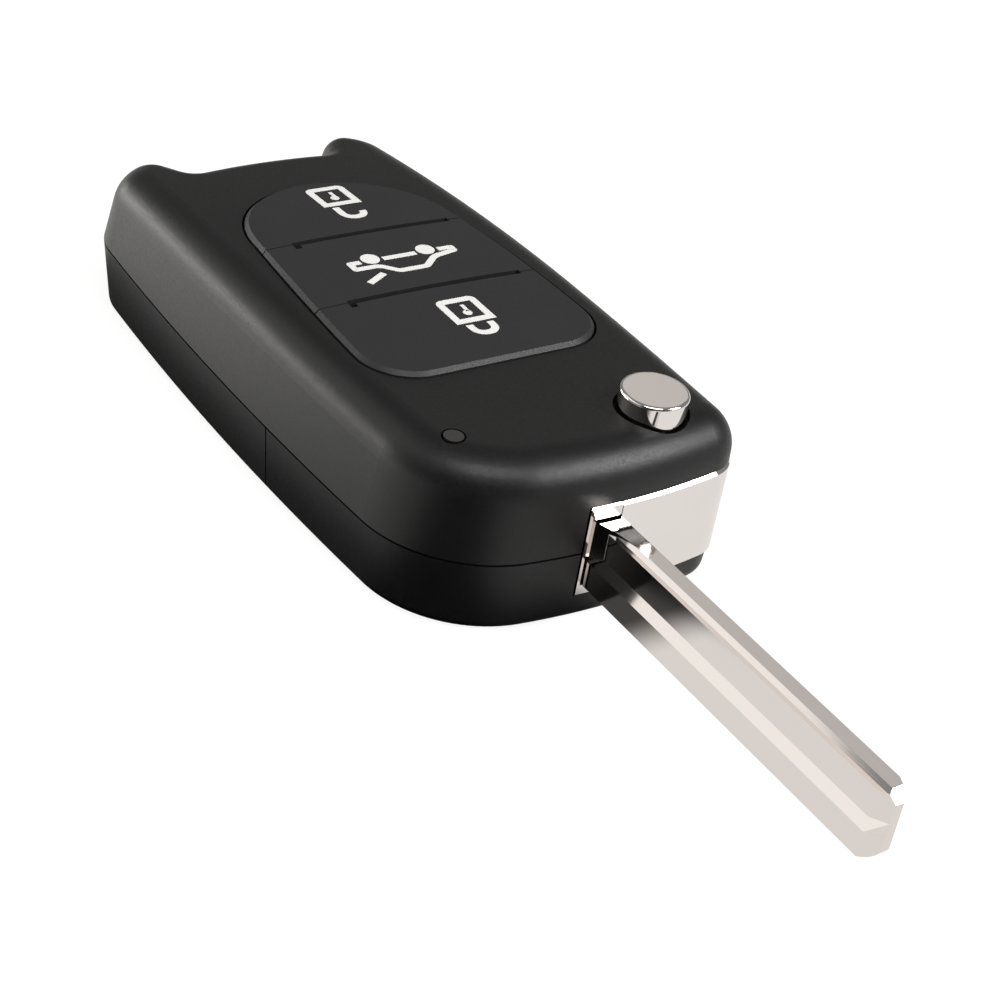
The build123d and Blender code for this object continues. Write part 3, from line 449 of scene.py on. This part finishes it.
def make_piece(name, shape, finish, body):
    """Turns a finished shape into a piece that moves with a body."""
    bmesh.ops.recalc_face_normals(shape, faces=shape.faces[:])
    mesh = bpy.data.meshes.new(name)
    shape.to_mesh(mesh)
    shape.free()
    piece = bpy.data.objects.new(name, mesh)
    piece.data.materials.append(finish)
    bpy.context.scene.collection.objects.link(piece)
    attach(piece, body)
    print(name, len(mesh.polygons), "faces on", body)
    return piece


# %% [markdown]
# The end of the groove
#
# A groove is milled into each side of the blade, and its sloping wall runs out in a point at
# the tip. The CAD blade breaks that wall off a little too early. This small wedge carries it
# on: its outer face lies in the plane of the wall, and it ends where the tip's bevel begins.
# It turns with the blade.

# %% Carry the groove's wall to the tip
WEDGE_CORNERS = [(78.5, -0.2, 7.0), (78.5, 0.65, 7.0), (78.5, 0.65, 7.85),
                 (79.1, -0.2, 7.0), (80.4, 1.195, 7.0), (80.4, 1.195, 8.395)]

wedge = bmesh.new()
corners = [wedge.verts.new(Vector(corner) * MM) for corner in WEDGE_CORNERS]
bmesh.ops.convex_hull(wedge, input=corners)
make_piece("groove_end", wedge, nickel, "blade")

# %% [markdown]
# The lamp lens
#
# Light from a small lamp comes up through a smoked lens. Unlit, it looks nearly as dark as
# the case but shinier, with a little depth.

# %% Dress the lens and the lamp
smoked = grained("smoked_polycarbonate", "#141414", "#1a1a1b", 0.16, 0.8, 0.001, spread=0.03)
dress(smoked, "led_lens")
resin = grained("clear_lamp_resin", "#e9e6d6", "#f2f0e4", 0.2, 0.5, 0.002)
dress(resin, "board_led")

# %% [markdown]
# Inside the case
#
# The inner pieces show when the cover is off or the case is cut open. Each gets the finish of
# the real one: green solder resist on the board, nylon switches, brushed steel on the cell,
# sprung bronze contacts, black resin round the chip, zinc-plated screws, bar and pin, a bright
# spring and a black nylon retainer. The cell and the contacts are brushed or rolled one way,
# so their grain is stretched as the blade's is.

# %% Dress the inner pieces
dress(grained("green_solder_resist", "#12512a", "#1a6a38", 0.25, 0.5, 0.004), "circuit_board")
dress(grained("black_switch_nylon", "#1a1a1a", "#262626", 0.4, 0.3, 0.004), "key_switches")
dress(grained("brushed_cell_steel", "#bdbcb8", "#d0cfcb", 0.26, 0.12, 0.002, metallic=1.0,
              stretch=LINE_STRETCH), "coin_cell")
dress(grained("sprung_phosphor_bronze", "#b48a58", "#c79c68", 0.28, 0.15, 0.002, metallic=1.0,
              stretch=LINE_STRETCH), "upper_contact", "lower_contact")
dress(grained("black_chip_resin", "#1c1c1d", "#242425", 0.45, 0.2, 0.004), "transponder")
dress(grained("zinc_plated_steel", "#a9abae", "#c0c2c5", 0.24, 0.2, 0.002, metallic=1.0),
      "board_screws", "ring_bar", "blade_pin")
spring_wire = grained("bright_spring_wire", "#8d8c8a", "#a3a2a0", 0.22, 0.1, 0.001, metallic=1.0)
dress(spring_wire, "flip_spring")
dress(grained("black_nylon", "#171718", "#202021", 0.45, 0.25, 0.006), "spring_retainer")

# %% [markdown]
# The coil and the sheet
#
# In the real key the coil shortens by the button's travel, and the silicone sheet is pinched
# under the key that is pushed. Here each is a copy of its CAD solid with the loose triangles
# joined, which stands in for that hidden solid. A piece can follow one joint only, so the sheet
# is parted under the seams between the keys, by less than a tenth of a millimetre.

# %% Copy the coil and the sheet
PAST_THE_END = 60
SHEET_PARTS = {"unlock": (-PAST_THE_END, -7.34), "boot": (-7.29, 5.6), "lock": (5.68, PAST_THE_END)}
SAME_POINT = 0.001
ON_THE_CUT = 0.0001


def copy_shape(node):
    """The shape of a CAD node, with its loose triangles joined."""
    shape = bmesh.new()
    shape.from_mesh(nodes[node].data)
    bmesh.ops.remove_doubles(shape, verts=shape.verts[:], dist=SAME_POINT * MM)
    return shape


def cut_away(shape, x, side):
    """Cuts off what lies past a place along the case, and closes the cut."""
    geometry = shape.verts[:] + shape.edges[:] + shape.faces[:]
    bmesh.ops.bisect_plane(shape, geom=geometry, dist=ON_THE_CUT * MM, plane_co=(x * MM, 0, 0),
                           plane_no=(side, 0, 0), clear_outer=True)
    rim = [edge for edge in shape.edges if edge.is_boundary]
    if rim:
        bmesh.ops.holes_fill(shape, edges=rim)


def give_way(piece, node):
    """Lets a piece stand for a CAD node, which is hidden."""
    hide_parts(node)
    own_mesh(piece)


coil = make_piece("flip_coil", copy_shape("flip_spring"), spring_wire, "case")
give_way(coil, "flip_spring")
for key, (tail_x, nose_x) in SHEET_PARTS.items():
    part = copy_shape("key_membrane")
    cut_away(part, tail_x, -1)
    cut_away(part, nose_x, 1)
    pad = make_piece(key + "_pad", part, sheet_rubber, "case")
    give_way(pad, "key_membrane")

# %% [markdown]
# The ink
#
# The white pictograms are screen printed: a film of ink some hundredths of a millimetre
# thick. Each film is drawn flat, in millimetres, across and along the case. It is laid on its
# key last, by moving each vertex to the key's own crowned surface, a little sunk in it. That
# surface is flat towards the blade and falls away towards the tail on a large radius.

# %% The ink and the surface under it
INK_LINE = 0.82
INK_FILM = 0.03
INK_SUNK = INK_FILM / 3
KEY_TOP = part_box("lock_key")[1].z / MM
CROWN_START = 8.0
CROWN_RADIUS = 400.0

ink = grained("white_screen_ink", "#cfcecc", "#d6d5d3", 0.55, 0.3, 0.002)


def key_surface(x):
    """Height of the keys' crowned tops at a place along the case."""
    back = max(0.0, CROWN_START - x)
    return KEY_TOP - back * back / (2 * CROWN_RADIUS)


def lay_mark(name, film, centre, body):
    """Lays a drawn film on a key, in place, and lets it ride with that key."""
    for vertex in film.verts:
        across, along, lift = vertex.co
        x = centre[0] + along
        y = centre[1] - across
        vertex.co = Vector((x, y, key_surface(x) + lift - INK_SUNK)) * MM
    make_piece(name, film, ink, body)


print("key tops lie at", round(KEY_TOP, 2), "mm")

# %% [markdown]
# Drawing with ink
#
# A line of even width could be a curve with a bevel. Here it is built from a bare chain of
# edges, because Blender's vertex bevel rounds the corners of such a chain in one step. The
# chain is then pulled up to a wall, and solidify gives the wall the line's width. A dot is a
# very low cylinder. Lines and dots that make one sign are joined in one film.

# %% Lines and dots
BEND_STEPS = 6
DOT_STEPS = 24
INK_MERGE = 0.0005


def add_to(film, piece):
    """Merges the doubles of a line or a dot and joins it to the film."""
    bmesh.ops.remove_doubles(piece, verts=piece.verts[:], dist=INK_MERGE)
    bmesh.ops.recalc_face_normals(piece, faces=piece.faces[:])
    shared = bpy.data.meshes.new("part")
    piece.to_mesh(shared)
    piece.free()
    film.from_mesh(shared)
    bpy.data.meshes.remove(shared)


def draw_line(film, corners, rounding, closed=False, width=INK_LINE):
    """Adds a line of ink through some corners, each rounded by its own or a common radius."""
    chain = bmesh.new()
    ends = [chain.verts.new((across, along, 0)) for across, along in corners]
    pairs = list(zip(ends, ends[1:]))
    if closed:
        pairs.append((ends[-1], ends[0]))
    for pair in pairs:
        chain.edges.new(pair)
    bends = ends if closed else ends[1:-1]
    cuts = rounding if isinstance(rounding, list) else [rounding] * len(bends)
    for bend, cut in zip(bends, cuts):
        if cut:
            bmesh.ops.bevel(chain, geom=[bend], offset=cut, offset_type="OFFSET",
                            segments=BEND_STEPS, profile=0.5, affect="VERTICES", material=-1)
    pulled = bmesh.ops.extrude_edge_only(chain, edges=chain.edges[:])
    raised = [item for item in pulled["geom"] if isinstance(item, bmesh.types.BMVert)]
    bmesh.ops.translate(chain, verts=raised, vec=(0, 0, INK_FILM))
    bmesh.ops.recalc_face_normals(chain, faces=chain.faces[:])
    bmesh.ops.solidify(chain, geom=chain.faces[:], thickness=width)
    add_to(film, chain)


def draw_dot(film, across, along, radius):
    """Adds a round dot of ink."""
    dot = bmesh.new()
    bmesh.ops.create_cone(dot, cap_ends=True, segments=DOT_STEPS, radius1=radius, radius2=radius,
                          depth=INK_FILM, matrix=Matrix.Translation((across, along, INK_FILM / 2)))
    add_to(film, dot)


print("lines are", INK_LINE, "mm wide and", INK_FILM, "mm thick")

# %% [markdown]
# The two padlocks
#
# One padlock is closed, on the key nearest the blade, and one is open, on the key nearest the
# tail. Both have a square body drawn in outline with a keyhole in it. The pictograms are read
# with the blade pointing up, so their height runs along the case. The open one has its
# shackle raised, and one end of it hangs free.

# %% Draw the padlocks
LOCK_HALF = 2.36
LOCK_CORNER = 0.8
KEYHOLE_UP = 0.55
KEYHOLE_RADIUS = 0.5
KEYHOLE_SLOT = [(0, 0.3), (0, -1.0)]
KEYHOLE_LINE = 0.42
SHACKLE_HALF = 1.65
SHACKLE_RISE = 2.6
SHACKLE_BEND = 1.5
FREE_END_UP = 1.5


def draw_padlock(name, body, centre, lift):
    """A padlock in outline, whose shackle is raised by a lift; zero closes it."""
    film = bmesh.new()
    half = LOCK_HALF
    draw_line(film, [(-half, -half), (half, -half), (half, half), (-half, half)],
              [LOCK_CORNER, LOCK_CORNER, 0, 0], closed=True)
    draw_dot(film, 0, KEYHOLE_UP, KEYHOLE_RADIUS)
    draw_line(film, KEYHOLE_SLOT, 0, width=KEYHOLE_LINE)
    foot = half + INK_LINE / 2
    top = half + SHACKLE_RISE + lift
    free_end = foot + FREE_END_UP if lift else foot
    draw_line(film, [(SHACKLE_HALF, foot), (SHACKLE_HALF, top), (-SHACKLE_HALF, top),
                     (-SHACKLE_HALF, free_end)], SHACKLE_BEND)
    lay_mark(name, film, centre, body)


draw_padlock("lock_mark", "lock_key", centre=(10.63, 1.6), lift=0.0)
draw_padlock("unlock_mark", "unlock_key", centre=(-16.65, 1.75), lift=0.9)

# %% [markdown]
# The car with its boot open
#
# The middle key opens the boot, so it carries the plain sign for that: a car seen from the
# side with its lid up. It has more in it than a padlock, so its line is a little finer. The
# outline leaves room for the two wheels, which are dots on the line of the sill.

# %% Draw the car
CAR_LINE = 0.74
CAR_BEND = 0.4
SILL = -1.7
CAR_BODY = [(-4.6, SILL), (-6.6, SILL), (-6.6, -0.3), (-3.6, 0.25), (-1.7, 1.9), (1.9, 1.9),
            (3.5, 0.3), (6.5, 0.3), (6.5, SILL), (4.85, SILL)]
BETWEEN_WHEELS = [(2.15, SILL), (-1.9, SILL)]
BOOT_LID = [(3.9, 1.2), (6.4, 2.6)]
WHEELS = (-3.25, 3.5)
WHEEL_RADIUS = 1.05

car = bmesh.new()
draw_line(car, CAR_BODY, CAR_BEND, width=CAR_LINE)
draw_line(car, BETWEEN_WHEELS, 0, width=CAR_LINE)
draw_line(car, BOOT_LID, 0, width=CAR_LINE)
for wheel in WHEELS:
    draw_dot(car, wheel, SILL, WHEEL_RADIUS)
lay_mark("boot_mark", car, (-0.2, 1.3), "boot_key")

# %% [markdown]
# The end
#
# Blender must not change the size of the key.

# %% Finish
print("finished")
